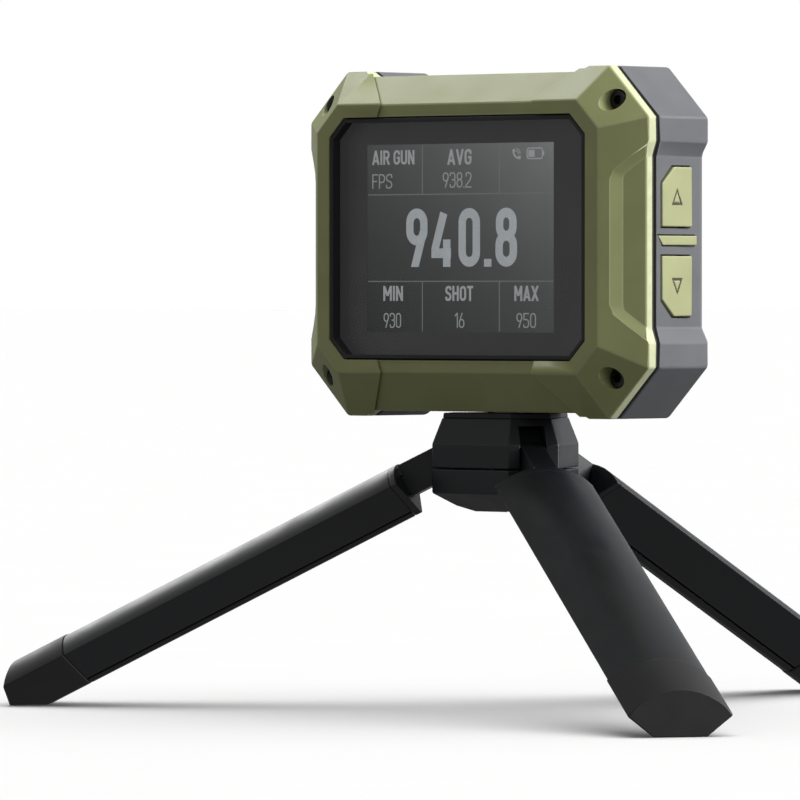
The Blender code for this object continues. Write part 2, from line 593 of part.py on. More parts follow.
def build_hub(parent):
    upper = mesh_object("hub_upper", [hub_ring(HUB_SEAM + GAP / 2, 0.0), hub_ring(HUB_SHOULDER, 0.0),
                                      hub_ring(HUB_TOP, 2.0)], "black_plastic", parent)
    lower = mesh_object("hub_lower", [hub_ring(HUB_BOTTOM, 6.9), hub_ring(HUB_WAIST, 0.0),
                                      hub_ring(HUB_SEAM - GAP / 2, 0.0)], "black_plastic", parent)
    keeper_top = PIVOT_Z - PIN_RADIUS - GAP
    for side, azimuth in LEG_AZIMUTHS.items():
        cut(upper, pin_channel(f"pin_channel_{side}_cutter", azimuth, parent),
            radial_box(f"slot_{side}_cutter", azimuth, (SLOT_INNER, 20.0), SLOT_HALF_WIDTH,
                       (HUB_BOTTOM - 2, SLOT_TOP), parent))
        for number, offset in enumerate((-4.8, 4.8)):
            join(lower, radial_box(f"pin_keeper_{side}_{number}", azimuth,
                                   (PIVOT_RADIUS - PIN_RADIUS, PIVOT_RADIUS + PIN_RADIUS), 1.4,
                                   (HUB_SEAM - 1, keeper_top), parent, offset))
        cut(lower, lower_slot_cutter(f"lower_slot_{side}_cutter", azimuth, parent))
    bore = STUD_RADIUS + GAP
    cut(upper, turned("stud_bore_cutter", [(50.0, bore), (66.0, bore)], (0, 0, 0), "Z", None, parent))
    cut(lower, turned("stud_seat_cutter", [(48.2, bore), (50.7, bore), (50.7, 5.1), (54.0, 5.1)],
                      (0, 0, 0), "Z", None, parent),
        turned("hub_screw_cutter", [(42.0, 3.8), (46.5, 3.8), (46.5, 2.0), (49.0, 2.0)],
               (0, 0, 0), "Z", None, parent))
    stud = turned("tripod_stud", [(48.5, STUD_RADIUS), (51.0, STUD_RADIUS), (51.0, 4.8), (52.15, 4.8),
                                  (52.15, STUD_RADIUS), (70.6, STUD_RADIUS), (71.2, 2.6)],
                  (0, 0, 0), "Z", "steel", parent, 32)
    cut(stud, turned("stud_thread_cutter", [(47.5, 1.95), (55.5, 1.95)], (0, 0, 0), "Z",
                     None, parent, 16))
    screw = turned("hub_screw", [(44.0, 3.4), (46.2, 3.4), (46.2, 1.65), (54.5, 1.65)],
                   (0, 0, 0), "Z", "steel", parent)
    cut(screw, turned("hub_socket_cutter", [(43.0, 1.7), (45.2, 1.7)], (0, 0, 0), "Z", None, parent, 6))
    pad = mesh_object("top_pad", [hub_ring(PAD_BOTTOM, 2.1), hub_ring(PAD_TOP, 2.3)],
                      "black_rubber", parent)
    cut(pad, turned("pad_bore_cutter", [(60.0, bore), (66.0, bore)], (0, 0, 0), "Z", None, parent))


# ---------------------------------------------------------------- tripod legs
def leg_point(u, v, w):
    """Leg coordinates (along, above, across) to the leg empty's own axes."""
    return (u * cos(LEG_SLOPE) + v * sin(LEG_SLOPE), w, v * cos(LEG_SLOPE) - u * sin(LEG_SLOPE))


ARC_MIDDLE_V = ARC_TOP_V - ARC_RADIUS
ARC_END_V = ARC_MIDDLE_V + sqrt(ARC_RADIUS ** 2 - LEG_HALF_WIDTH ** 2)
FLANK_ANGLE = atan2(LEG_HALF_WIDTH, ARC_END_V - APEX_V)


def leg_section(inset, v_floor, steps=12):
    """Points (w, v) round the leg's section moved in by `inset`, its point cut off at v_floor."""
    tip = APEX_V + inset / sin(FLANK_ANGLE)
    radius = ARC_RADIUS - inset
    rise = tip - ARC_MIDDLE_V
    flank = sqrt(radius ** 2 - (rise * sin(FLANK_ANGLE)) ** 2) - rise * cos(FLANK_ANGLE)
    reach = asin(flank * sin(FLANK_ANGLE) / radius)
    turns = [reach * (2 * i / steps - 1) for i in range(steps + 1)]
    arc = [(radius * sin(turn), ARC_MIDDLE_V + radius * cos(turn)) for turn in turns]
    floor_half = (v_floor - tip) * tan(FLANK_ANGLE)
    return arc + [(floor_half, v_floor), (-floor_half, v_floor)]


def along_leg(name, outline, u_start, u_end, finish, parent):
    """Extrudes a (w, v) outline along the leg; u_end may depend on v."""
    end = u_end if callable(u_end) else lambda v: u_end
    near = [leg_point(u_start, v, w) for w, v in outline]
    far = [leg_point(end(v), v, w) for w, v in outline]
    return mesh_object(name, [near, far], finish, parent)


def across_leg(name, outline, half_width, finish, parent):
    """Extrudes a (u, v) outline across the leg."""
    rings = [[leg_point(u, v, w) for u, v in outline] for w in (-half_width, half_width)]
    return mesh_object(name, rings, finish, parent)


def arm_outline(grow):
    """The hinge arm from its eye to its end inside the shell, as points (u, v)."""
    eye = [(EYE_RADIUS * cos(radians(a)), EYE_RADIUS * sin(radians(a))) for a in range(90, 271, 15)]
    beam = [(7.8, -EYE_RADIUS), (9.2, -5.2), (14.9, -5.2), (14.9, -4.6 - grow),
            (34.0 + grow, -4.6 - grow), (34.0 + grow, grow - 0.4), (14.9, grow - 0.4),
            (14.9, 2.0), (2.75, 2.0)]
    return eye + beam


def foot_end(v):
    """Where the foot's upright end face lies along the leg, at height v over its axis."""
    return (FOOT_REACH - PIVOT_RADIUS - v * sin(LEG_SLOPE)) / cos(LEG_SLOPE)


def build_leg(side, azimuth, assembly):
    hinge = bpy.data.objects.new(f"leg_hinge_{side}", None)
    bpy.context.scene.collection.objects.link(hinge)
    hinge.parent = assembly
    out = azimuth_direction(azimuth)
    hinge.location = (out[0] * PIVOT_RADIUS * MM, out[1] * PIVOT_RADIUS * MM, PIVOT_Z * MM)
    hinge.rotation_euler = (0.0, 0.0, radians(azimuth - 90.0))

    arm = across_leg(f"leg_{side}_arm", arm_outline(0.0), ARM_HALF_THICKNESS, "black_plastic", hinge)
    cut(arm, turned(f"eye_{side}_cutter", [(-4.0, PIN_RADIUS + GAP), (4.0, PIN_RADIUS + GAP)],
                    (0, 0, 0), "Y", None, hinge))
    turned(f"leg_{side}_pin", [(-PIN_HALF_LENGTH, PIN_RADIUS), (PIN_HALF_LENGTH, PIN_RADIUS)],
           (0, 0, 0), "Y", "steel", hinge)

    collar = along_leg(f"leg_{side}_collar", leg_section(0.0, APEX_V + APEX_FLAT), COLLAR_START,
                       COLLAR_END, "black_plastic", hinge)
    cut(collar, across_leg(f"collar_{side}_cutter", arm_outline(GAP), ARM_HALF_THICKNESS + GAP,
                           None, hinge))

    seam_v = APEX_V + RAIL_HEIGHT
    shell = along_leg(f"leg_{side}_shell", leg_section(0.0, seam_v + GAP / 2), SHELL_START,
                      SHELL_END, "black_plastic", hinge)
    groove_half, groove_top = RAIL_WEB_HALF + GAP, RAIL_WEB_TOP + GAP
    groove = [(-groove_half, groove_top), (groove_half, groove_top),
              (groove_half, seam_v - 1), (-groove_half, seam_v - 1)]
    cut(shell, along_leg(f"shell_{side}_cutter", leg_section(SHELL_WALL, SHELL_FLOOR),
                         SHELL_START - 1, SHELL_END + 1, None, hinge),
        along_leg(f"groove_{side}_cutter", groove, SHELL_START - 1, SHELL_END + 1, None, hinge))

    rail_top = seam_v - GAP / 2
    rail_half = (rail_top - APEX_V) * tan(FLANK_ANGLE)
    tip_half = APEX_FLAT * tan(FLANK_ANGLE)
    profile = [(-rail_half, rail_top), (-RAIL_WEB_HALF, rail_top), (-RAIL_WEB_HALF, RAIL_WEB_TOP),
               (RAIL_WEB_HALF, RAIL_WEB_TOP), (RAIL_WEB_HALF, rail_top), (rail_half, rail_top),
               (tip_half, APEX_V + APEX_FLAT), (-tip_half, APEX_V + APEX_FLAT)]
    along_leg(f"leg_{side}_rail", profile, SHELL_START, SHELL_END, "black_plastic", hinge)

    foot = along_leg(f"leg_{side}_foot", leg_section(-FOOT_SWELL, APEX_V + APEX_FLAT), FOOT_START,
                     foot_end, "black_rubber", hinge)
    join(foot, along_leg(f"plug_{side}", leg_section(SHELL_WALL + GAP, -5.2), 84.0,
                         FOOT_START + 1, None, hinge))
    cut(foot, box(f"ground_{side}_cutter", (60.0, -20.0, -PIVOT_Z - 20), (120.0, 20.0, -PIVOT_Z),
                  None, hinge))


# ---------------------------------------------------------------- whole object
def build():
    clear_scene()
    assembly = bpy.data.objects.new("assembly", None)
    bpy.context.scene.collection.objects.link(assembly)
    assembly.location = (0.0, TRIPOD_AXIS_Y * MM, 0.0)
    build_bezel(assembly)
    build_window(assembly)
    build_display(assembly)
    build_body_gasket(assembly)
    build_rear_housing(assembly)
    build_rear_details(assembly)
    build_case_screws(assembly)
    build_insert(assembly)
    build_keys(assembly)
    build_port(assembly)
    build_hub(assembly)
    for side, azimuth in LEG_AZIMUTHS.items():
        build_leg(side, azimuth, assembly)


build()
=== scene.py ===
# Looks for the palm-size radar chronograph on its folding mini tripod.
#
# Every outer CAD node is shown by a welded copy with real rounded edges and a moulded or
# painted finish, and the bezel's rim carries a painted highlight; the inner nodes keep their own
# shape and take a finish.  What the CAD leaves out is added: the mask behind the window, whose
# faint glow is a painted reflection, the lit display with its readings and a painted sheen, and a
# dark fill in the keys' marks.
# Sizes are in millimetres and MM turns them into metres; places come from the imported nodes.

import json
from math import cos, hypot, pi, radians, sin

import bmesh
import bpy
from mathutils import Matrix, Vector


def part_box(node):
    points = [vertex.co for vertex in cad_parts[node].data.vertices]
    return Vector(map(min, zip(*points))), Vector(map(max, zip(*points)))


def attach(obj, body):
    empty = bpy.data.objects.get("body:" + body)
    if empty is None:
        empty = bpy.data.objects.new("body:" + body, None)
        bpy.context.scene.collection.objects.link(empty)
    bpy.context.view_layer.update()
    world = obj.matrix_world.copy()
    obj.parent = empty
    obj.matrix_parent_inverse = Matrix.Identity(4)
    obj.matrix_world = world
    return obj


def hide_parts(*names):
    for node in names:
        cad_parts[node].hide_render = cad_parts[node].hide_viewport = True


MM = 0.001

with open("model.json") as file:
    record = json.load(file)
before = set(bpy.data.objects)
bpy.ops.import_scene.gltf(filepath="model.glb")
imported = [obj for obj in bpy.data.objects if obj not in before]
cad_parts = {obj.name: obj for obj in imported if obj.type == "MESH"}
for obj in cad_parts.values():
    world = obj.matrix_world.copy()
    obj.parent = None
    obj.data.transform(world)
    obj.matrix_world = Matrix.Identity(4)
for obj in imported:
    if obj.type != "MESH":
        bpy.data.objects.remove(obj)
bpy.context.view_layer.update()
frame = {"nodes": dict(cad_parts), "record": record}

BODY_OF = {node: body for body, nodes in frame["record"]["behaviour"]["bodies"].items() for node in nodes}
SLOT_OF = {entry["node"]: entry["material_slot"] for entry in frame["record"]["subparts"]}

# ---------------------------------------------------------------- finishes
def add_node(tree, kind, inputs=None, **settings):
    """A shader node with its settings, and its inputs given as values or as other sockets."""
    made = tree.nodes.new(kind)
    for key, value in settings.items():
        setattr(made, key, value)
    for socket, value in (inputs or {}).items():
        if isinstance(value, bpy.types.NodeSocket):
            tree.links.new(value, made.inputs[socket])
        else:
            made.inputs[socket].default_value = value
    return made


def new_material(name):
    """An empty material: its tree, its shader and the piece's own coordinates."""
    material = bpy.data.materials.new(name)
    material.use_nodes = True
    tree = material.node_tree
    place = add_node(tree, "ShaderNodeTexCoord").outputs["Object"]
    return material, tree, tree.nodes["Principled BSDF"], place


def noise(tree, place, size, detail=2.0, roughness=0.5):
    """Noise whose blotches are about `size` millimetres across."""
    made = add_node(tree, "ShaderNodeTexNoise", {
        "Vector": place, "Scale": 1.0 / (size * MM), "Detail": detail, "Roughness": roughness})
    return made.outputs["Fac"]


def spread(tree, value, low, high, source=(0.3, 0.7)):
    """Maps the middle of a noise's range to low..high."""
    return add_node(tree, "ShaderNodeMapRange", {
        "Value": value, "From Min": source[0], "From Max": source[1], "To Min": low,
        "To Max": high}).outputs["Result"]


def product(tree, *values):
    """The product of sockets and numbers."""
    result = values[0]
    for value in values[1:]:
        result = add_node(tree, "ShaderNodeMath", {0: result, 1: value}, operation="MULTIPLY").outputs[0]
    return result


UNEVEN = 0.06                  # how far a surface's roughness strays from its mean


def moulded(name, colour, roughness, grain, depth, mottle, rubbed_and_highlight_colour=None, rubbing_and_highlight_amount=0.5, metallic=0.0, coat=0.0,
            specular=0.5):
    """Moulded or painted surface: fine grain, slow tone changes, edges rubbed lighter and, on the bezel's
    rim, a lighter painted highlight.
    """
    material, tree, shader, place = new_material(name)
    broad = noise(tree, place, 9.0, 3.0)
    fine = noise(tree, place, grain, 3.0, 0.6)
    tone = spread(tree, broad, 1.0 - mottle, 1.0 + mottle)
    speck = spread(tree, fine, 1.0 - 0.6 * mottle, 1.0 + 0.6 * mottle)
    toned = add_node(tree, "ShaderNodeVectorMath", {"Vector": colour, "Scale": product(tree, tone, speck)},
                     operation="SCALE").outputs["Vector"]
    # The edge colour is rubbed paint on rounded edges, and a painted highlight on the bezel's rim.
    if rubbed_and_highlight_colour is not None:
        edge = add_node(tree, "ShaderNodeAttribute", attribute_name="edge_wear").outputs["Fac"]
        patches = spread(tree, noise(tree, place, 2.4, 4.0, 0.65), 0.75, 1.0)
        amount = product(tree, edge, patches, rubbing_and_highlight_amount)
        toned = add_node(tree, "ShaderNodeMix", {"Factor": amount, "A": toned, "B": (*rubbed_and_highlight_colour, 1.0)},
                         data_type="RGBA").outputs["Result"]
    tree.links.new(toned, shader.inputs["Base Color"])
    rough = spread(tree, broad, roughness - UNEVEN, roughness + UNEVEN)
    tree.links.new(rough, shader.inputs["Roughness"])
    bump = add_node(tree, "ShaderNodeBump", {"Strength": 0.35, "Distance": depth * MM, "Height": fine})
    tree.links.new(bump.outputs["Normal"], shader.inputs["Normal"])
    shader.inputs["Metallic"].default_value = metallic
    shader.inputs["Coat Weight"].default_value = coat
    shader.inputs["Specular IOR Level"].default_value = specular
    return material


# Colours are linear; grain and depth are in millimetres.
LOOKS = {
    # olive_paint's light edge colour also paints the highlight on the bezel's rim.
    "olive_paint": dict(colour=(0.235, 0.252, 0.112), roughness=0.40, grain=0.16, depth=0.010, mottle=0.05,
                        rubbed_and_highlight_colour=(0.64, 0.67, 0.44), rubbing_and_highlight_amount=0.9, specular=0.22),
    "key_green": dict(colour=(0.35, 0.365, 0.185), roughness=0.42, grain=0.18, depth=0.010, mottle=0.05,
                      rubbed_and_highlight_colour=(0.60, 0.62, 0.40), rubbing_and_highlight_amount=0.9, specular=0.4),
    "grey_plastic": dict(colour=(0.122, 0.125, 0.135), roughness=0.56, grain=0.24, depth=0.020, mottle=0.06,
                         rubbed_and_highlight_colour=(0.34, 0.34, 0.36), rubbing_and_highlight_amount=0.8, specular=0.3),
    "tripod_plastic": dict(colour=(0.0088, 0.0101, 0.0126), roughness=0.40, grain=0.30, depth=0.020,
                           mottle=0.10, rubbed_and_highlight_colour=(0.060, 0.061, 0.066), rubbing_and_highlight_amount=1.0, specular=0.4),
    "black_plastic": dict(colour=(0.016, 0.016, 0.018), roughness=0.50, grain=0.26, depth=0.020,
                          mottle=0.08, rubbed_and_highlight_colour=(0.05, 0.05, 0.055), rubbing_and_highlight_amount=0.5),
    "black_rubber": dict(colour=(0.010, 0.010, 0.011), roughness=0.74, grain=0.20, depth=0.030, mottle=0.10,
                         rubbed_and_highlight_colour=(0.026, 0.026, 0.027), rubbing_and_highlight_amount=0.6),
    "foot_rubber": dict(colour=(0.013, 0.013, 0.014), roughness=0.50, grain=0.26, depth=0.035, mottle=0.12,
                        rubbed_and_highlight_colour=(0.040, 0.040, 0.041), rubbing_and_highlight_amount=0.6, specular=0.4),
    "radome_plastic": dict(colour=(0.020, 0.020, 0.022), roughness=0.56, grain=0.35, depth=0.040,
                           mottle=0.08, rubbed_and_highlight_colour=(0.055, 0.055, 0.058), rubbing_and_highlight_amount=0.4),
    "steel": dict(colour=(0.56, 0.56, 0.58), roughness=0.30, grain=0.12, depth=0.004, mottle=0.05,
                  metallic=1.0),
    "black_steel": dict(colour=(0.045, 0.045, 0.048), roughness=0.34, grain=0.12, depth=0.006, mottle=0.08,
                        rubbed_and_highlight_colour=(0.30, 0.30, 0.31), rubbing_and_highlight_amount=0.6, metallic=1.0),
    "brass": dict(colour=(0.70, 0.50, 0.21), roughness=0.30, grain=0.12, depth=0.005, mottle=0.06,
                  metallic=1.0),
    "battery_wrap": dict(colour=(0.24, 0.27, 0.32), roughness=0.36, grain=0.6, depth=0.010, mottle=0.10,
                         coat=0.2),
}
FINISH = {name: moulded(name, **look) for name, look in LOOKS.items()}


def circuit_board():
    """Green solder mask with copper tracks showing through it."""
    material, tree, shader, place = new_material("circuit_board")
    tracks = add_node(tree, "ShaderNodeTexBrick", {
        "Vector": place, "Scale": 260.0, "Mortar Size": 0.035, "Color1": (0.008, 0.085, 0.036, 1.0),
        "Color2": (0.010, 0.070, 0.032, 1.0), "Mortar": (0.030, 0.170, 0.070, 1.0)})
    tree.links.new(tracks.outputs["Color"], shader.inputs["Base Color"])
    tree.links.new(spread(tree, noise(tree, place, 3.0), 0.28, 0.42), shader.inputs["Roughness"])
    bump = add_node(tree, "ShaderNodeBump", {"Strength": 0.3, "Distance": 0.03 * MM,
                                             "Height": tracks.outputs["Fac"]})
    tree.links.new(bump.outputs["Normal"], shader.inputs["Normal"])
    return material


FINISH["circuit_board"] = circuit_board()


def window_glass():
    """Tinted hardened glass, thin enough to pass light straight on, with faint wipe marks."""
    material, tree, shader, place = new_material("smoked_glass")
    marks = noise(tree, place, 14.0, 4.0, 0.6)
    tree.links.new(spread(tree, marks, 0.02, 0.06), shader.inputs["Roughness"])
    tint = add_node(tree, "ShaderNodeMix", {"Factor": marks, "A": (0.024, 0.025, 0.026, 1.0),
                                            "B": (0.030, 0.031, 0.032, 1.0)}, data_type="RGBA")
    tree.links.new(tint.outputs["Result"], shader.inputs["Base Color"])
    tree.links.new(spread(tree, marks, 0.18, 0.22), shader.inputs["Alpha"])
    shader.inputs["IOR"].default_value = 1.5
    return material


LCD_SHEEN_RISE = (18.5, 0.0, 28.0)   # how fast the display's painted sheen grows per metre, as a power of e
LCD_SHEEN_START = 2.81               # taken off that power, so that it is 0 near the display's middle


def lcd_glow_and_painted_sheen():
    """The display's lit ground, paler towards its upper right corner as a painted sheen, with a fine cell
    pattern.
    """
    material, tree, shader, place = new_material("lcd_ground")
    lift = add_node(tree, "ShaderNodeVectorMath", {0: place, 1: LCD_SHEEN_RISE}, operation="DOT_PRODUCT")
    power = add_node(tree, "ShaderNodeMath", {0: lift.outputs["Value"], 1: LCD_SHEEN_START}, operation="SUBTRACT")
    level = add_node(tree, "ShaderNodeMath", {0: power.outputs[0]}, operation="EXPONENT").outputs[0]
    cells = spread(tree, noise(tree, place, 0.12, 0.0), 0.97, 1.03)
    glow = add_node(tree, "ShaderNodeVectorMath", {
        "Vector": (0.070, 0.075, 0.0735), "Scale": product(tree, level, cells)}, operation="SCALE")
    tree.links.new(glow.outputs["Vector"], shader.inputs["Emission Color"])
    shader.inputs["Emission Strength"].default_value = 1.0
    shader.inputs["Base Color"].default_value = (0.01, 0.01, 0.01, 1.0)
    tree.links.new(spread(tree, noise(tree, place, 6.0), 0.45, 0.55), shader.inputs["Roughness"])
    return material


def glowing_ink(name, colour, cell=0.5):
    """Glowing parts: the display's lit parts, and the mask's faint glow, which is a painted reflection;
    `cell` is the size of a slight unevenness, in millimetres.
    """
    material, tree, shader, place = new_material(name)
    cells = spread(tree, noise(tree, place, cell, 2.0), 0.94, 1.06)
    glow = add_node(tree, "ShaderNodeVectorMath", {"Vector": colour, "Scale": cells}, operation="SCALE")
    tree.links.new(glow.outputs["Vector"], shader.inputs["Emission Color"])
    shader.inputs["Emission Strength"].default_value = 1.0
    shader.inputs["Base Color"].default_value = (0.02, 0.02, 0.02, 1.0)
    return material


FINISH["smoked_glass"] = window_glass()
# The display ground's paler upper right is a painted sheen.
FINISH["lcd_glass"] = lcd_glow_and_painted_sheen()
DIGIT_INK = glowing_ink("lcd_digits", (0.40, 0.43, 0.45))
LABEL_INK = glowing_ink("lcd_labels", (0.34, 0.365, 0.37))
THIN_INK = glowing_ink("lcd_figures", (0.29, 0.31, 0.31))
RULE_INK = glowing_ink("lcd_rules", (0.158, 0.168, 0.168))
# The mask glows faintly: a painted reflection of the glass over it.
MASK_PAINTED_REFLECTION = glowing_ink("window_mask_ink", (0.034, 0.034, 0.0345), 8.0)
# Dark colour that fills the keys' engraved marks.
KEY_MARK_DARK_FILL = moulded("key_mark_ink", colour=(0.045, 0.048, 0.026), roughness=0.6, grain=0.2, depth=0.006,
                  mottle=0.1)


# ---------------------------------------------------------------- pieces
WELD = 0.05 * MM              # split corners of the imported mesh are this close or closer
FLAT = radians(0.4)           # faces that meet at less than this become one
SHARP = radians(16.5)         # edges that turn more than this are rounded
LEG_SLOPE = radians(27.0)
GAP_CLOSED = 0.28 * MM        # how much of the CAD's 0.3 mm clearance a skin may take up
END_ZONE = 0.45 * MM          # how far from a piece's end its rounded rim reaches
RIM_HALF_WIDTH, RIM_HALF_HEIGHT = 42 * MM, 34 * MM   # the bezel's rim lies outside these
LIGHT_WEAR = 0.15             # wear of a rounded edge, where 1 is the bezel's rim with its painted highlight


def add_piece(name, shape, material, body):
    """Turns a bmesh into a piece that rides on a body and takes a material slot."""
    mesh = bpy.data.meshes.new(name)
    bmesh.ops.recalc_face_normals(shape, faces=shape.faces)
    shape.to_mesh(mesh)
    shape.free()
    piece = bpy.data.objects.new(name, mesh)
    bpy.context.scene.collection.objects.link(piece)
    mesh.materials.append(material)
    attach(piece, body)
    return piece


def refined(node, radius):
    """A copy of a CAD node with its edges rounded, the new faces marked for wear, and on the bezel its rim
    marked for a painted highlight.
    """
    shape = bmesh.new()
    shape.from_mesh(frame["nodes"][node].data)
    bmesh.ops.remove_doubles(shape, verts=shape.verts, dist=WELD)
    bmesh.ops.dissolve_limit(shape, angle_limit=FLAT, verts=shape.verts, edges=shape.edges)
    rounded_edges = [e for e in shape.edges if e.calc_face_angle(0.0) > SHARP]
    made = bmesh.ops.bevel(shape, geom=rounded_edges, offset=radius * MM, offset_type="ABSOLUTE",
                           segments=3, profile=0.5, affect="EDGES", clamp_overlap=False)
    # The bezel's outer side faces are painted lighter: a painted highlight, with some rubbed paint.
    mark_wear_and_rim_highlight(shape, set(made["faces"]), rim_painted_highlight_faces(shape) if node == "front_bezel" else set())
    piece = add_piece(f"{node}_skin", shape, FINISH[SLOT_OF[node]], BODY_OF[node])
    piece.data.shade_smooth()
    normals = piece.modifiers.new("even_normals", "WEIGHTED_NORMAL")
    normals.keep_sharp = True
    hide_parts(node)
    return piece


def close_gap(piece, direction):
    """Moves a piece's end out across the CAD's clearance, up to its neighbour."""
    reaches = [vertex.co.dot(direction) for vertex in piece.data.vertices]
    end = max(reaches) - END_ZONE
    for vertex, reach in zip(piece.data.vertices, reaches):
        if reach > end:
            vertex.co += GAP_CLOSED * direction


def rim_painted_highlight_faces(shape):
    """The faces round the bezel's outer edge, painted lighter as a highlight for the light on its side
    strip, with some rubbed paint.
    """
    low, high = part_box("front_bezel")
    middle = (low + high) / 2
    rim = set()
    for face in shape.faces:
        out = face.calc_center_median() - middle
        if abs(face.normal.y) < 0.05 and (abs(out.x) > RIM_HALF_WIDTH or abs(out.z) > RIM_HALF_HEIGHT):
            rim.add(face)
    return rim


def mark_wear_and_rim_highlight(shape, rounded_faces, rim):
    """Sets the edge attribute to 1 on the rim, for its painted highlight, and to LIGHT_WEAR, for rubbed
    edges, inside the other rounded strips.
    """
    shape.normal_update()
    layer = shape.loops.layers.float.new("edge_wear")
    for face in rounded_faces | rim:
        for corner in face.loops:
            if any(f in rim for f in corner.vert.link_faces):
                corner[layer] = 1.0
            elif all(f in rounded_faces for f in corner.vert.link_faces):
                corner[layer] = LIGHT_WEAR


ROUNDING = {
    "front_bezel": 0.40, "rear_housing": 0.45, "window_gasket": 0.12, "body_gasket": 0.10,
    "display_window": 0.10, "up_button": 0.35, "down_button": 0.35, "power_button": 0.35,
    "side_rib_right": 0.25, "side_rib_left": 0.25, "usb_flap": 0.25, "radar_window": 0.20,
    "hub_upper": 0.30, "hub_lower": 0.30, "top_pad": 0.20,
}
LEG_AZIMUTH = {"left": radians(-60.0), "right": radians(60.0), "rear": pi}   # 0 is the front
for side in LEG_AZIMUTH:
    ROUNDING.update({f"leg_{side}_arm": 0.4, f"leg_{side}_collar": 0.25, f"leg_{side}_shell": 0.30,
                     f"leg_{side}_rail": 0.20, f"leg_{side}_foot": 0.45})

skins = {node: refined(node, radius) for node, radius in ROUNDING.items()}
close_gap(skins["top_pad"], Vector((0.0, 0.0, -1.0)))
for side, azimuth in LEG_AZIMUTH.items():
    along = Vector((sin(azimuth) * cos(LEG_SLOPE), -cos(azimuth) * cos(LEG_SLOPE), -sin(LEG_SLOPE)))
    close_gap(skins[f"leg_{side}_shell"], along)
    close_gap(skins[f"leg_{side}_shell"], -along)
for node, item in frame["nodes"].items():
    if node not in ROUNDING:
        item.data.materials.clear()
        item.data.materials.append(FINISH[SLOT_OF[node]])


# ---------------------------------------------------------------- display
glass_low, glass_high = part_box("display_window")
lcd_low, lcd_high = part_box("lcd_panel")
LCD_MIDDLE_Z = (lcd_low.z + lcd_high.z) / 2 / MM
GLASS_BACK_Y = glass_high.y / MM
LCD_FRONT_Y = lcd_low.y / MM
ACTIVE_LEFT, ACTIVE_RIGHT = -29.35, 24.7     # the lit area, which sits left of the panel's middle
ACTIVE_BOTTOM, ACTIVE_TOP = LCD_MIDDLE_Z - 20.3, LCD_MIDDLE_Z + 20.3
GROUND_DEPTH = 0.04           # the ground lies on the panel
INK_Y = LCD_FRONT_Y - 0.10    # the letters' fronts; their backs touch the ground
INK_DEPTH = 0.06
LETTER_GAP = 0.095            # between letters, as a share of their height
CORNER_REACH = 0.52           # how far a letter's rounded corner reaches, as a share of its width
ARC_HANDLE = 0.552            # handle length that makes a cubic curve a quarter circle
MITRE_LIMIT = 0.35            # keeps the mitre of a sharp corner short
OUTER_BAND = 0.3              # level strokes farther than this from mid-height end at the letter's side
SAME = 1e-6                   # lengths closer than this are equal
JOINED = 1e-4                 # points closer than this are one


def prism(shape, faces, offset):
    """Thickens faces by `offset`, in millimetres."""
    moved = bmesh.ops.extrude_face_region(shape, geom=faces, use_keep_orig=True)
    corners = [v for v in moved["geom"] if isinstance(v, bmesh.types.BMVert)]
    bmesh.ops.translate(shape, verts=corners, vec=[length * MM for length in offset])


def corner_at(shape, x, y, z):
    """A new vertex, placed in millimetres."""
    return shape.verts.new((x * MM, y * MM, z * MM))


def rectangle(shape, x0, z0, x1, z1, y):
    """A flat upright rectangle that faces the viewer of the display."""
    corners = [corner_at(shape, x, y, z) for x, z in ((x0, z0), (x1, z0), (x1, z1), (x0, z1))]
    return shape.faces.new(corners)


def rounded(path, closed, radius, steps=6):
    """Points along a path of (x, z, soft) corners, with an arc in place of each soft one."""
    points = []
    for i, (x, z, soft) in enumerate(path):
        here = Vector((x, z))
        if not soft or (not closed and i in (0, len(path) - 1)):
            points.append(here)
            continue
        back = Vector(path[i - 1][:2]) - here
        ahead = Vector(path[(i + 1) % len(path)][:2]) - here
        reach = min(radius, back.length / 2, ahead.length / 2)
        start, end = here + back.normalized() * reach, here + ahead.normalized() * reach
        first, second = start.lerp(here, ARC_HANDLE), end.lerp(here, ARC_HANDLE)
        for k in range(steps + 1):
            t = k / steps
            s = 1 - t
            points.append(s ** 3 * start + 3 * s * s * t * first + 3 * s * t * t * second + t ** 3 * end)
    return points


def ribbon(shape, points, width, closed, y):
    """A flat band along a path, mitred at its corners."""
    path = [points[0]]
    for point in points[1:]:
        if (point - path[-1]).length > JOINED:
            path.append(point)
    if closed and (path[0] - path[-1]).length < JOINED:
        path.pop()
    count = len(path)
    sides = []
    for i, point in enumerate(path):
        arrive = (point - path[i - 1]).normalized() if closed or i > 0 else None
        leave = (path[(i + 1) % count] - point).normalized() if closed or i < count - 1 else None
        arrive, leave = arrive or leave, leave or arrive
        across = Vector((-arrive.y - leave.y, arrive.x + leave.x)).normalized()
        reach = width / 2 / max(MITRE_LIMIT, across.dot(Vector((-arrive.y, arrive.x))))
        borders = [point + side * reach * across for side in (1, -1)]
        sides.append([corner_at(shape, border.x, y, border.y) for border in borders])
    faces = []
    for i in range(count if closed else count - 1):
        first, second = sides[i], sides[(i + 1) % count]
        faces.append(shape.faces.new((first[0], first[1], second[1], second[0])))
    return faces


